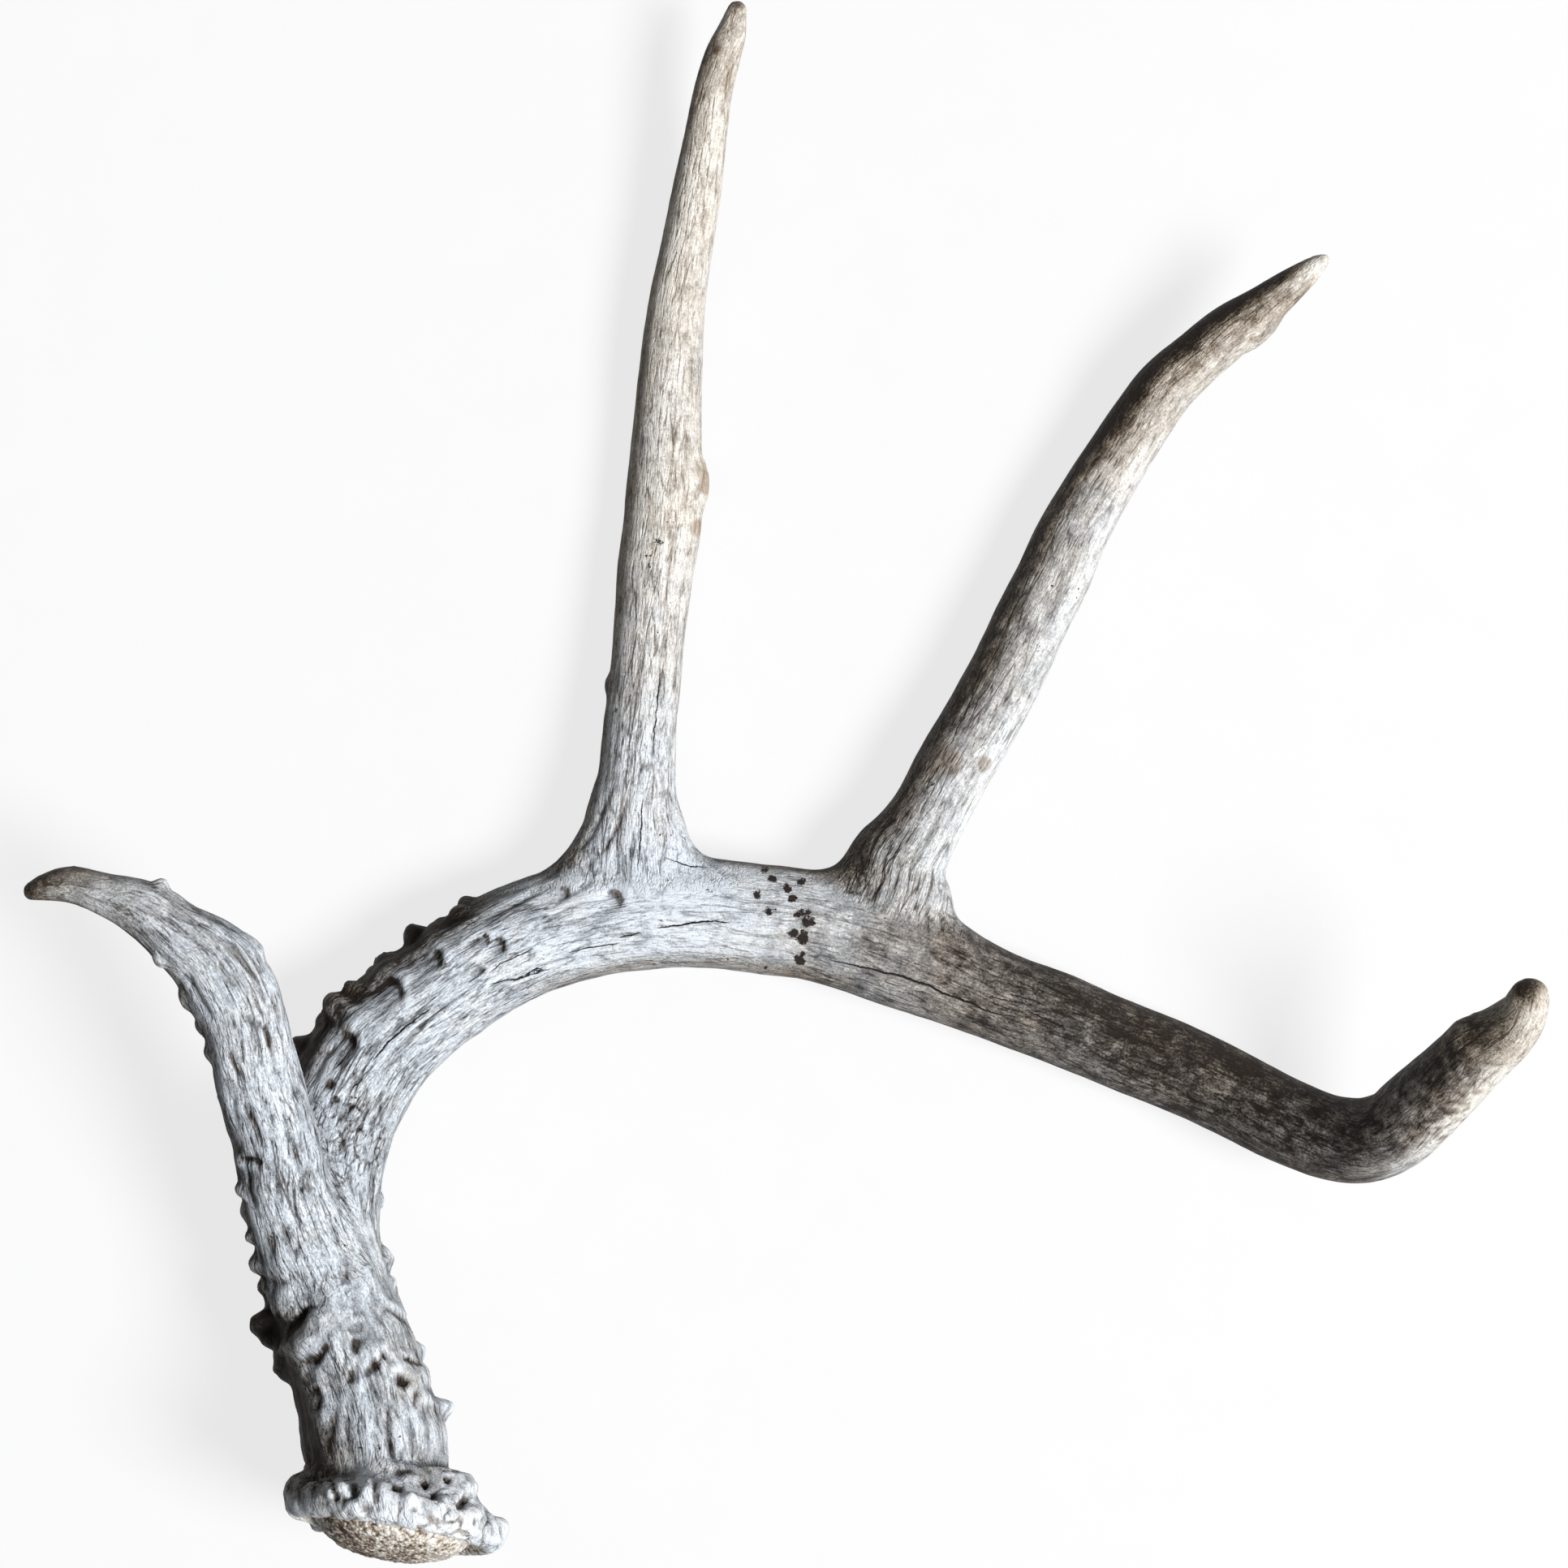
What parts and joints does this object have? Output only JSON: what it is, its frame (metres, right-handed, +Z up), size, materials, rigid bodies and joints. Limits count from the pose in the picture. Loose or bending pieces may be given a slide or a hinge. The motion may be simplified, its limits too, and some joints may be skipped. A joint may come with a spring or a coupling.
{
  "type": "deer antler",
  "caption": "Shed deer antler: a curved main beam with a knobbly coronet at its base and pointed tines, lying on its outer side.",
  "frame": {"origin": "middle of the antler's footprint on the surface it lies on", "axes": "+Z up from the surface, towards the hollow side; +Y along the second tine, away from the coronet; +X towards the beam's tip"},
  "size_m": [0.3594, 0.3814, 0.0769],
  "materials": {
    "beam_bone": "matte",
    "brow_bone": "matte",
    "second_tine_bone": "satin",
    "third_tine_bone": "satin"
  },
  "bodies": {
    "root": {"main_beam": "beam_bone", "brow_tine": "brow_bone", "second_tine": "second_tine_bone", "third_tine": "third_tine_bone"}
  },
  "joints": []
}
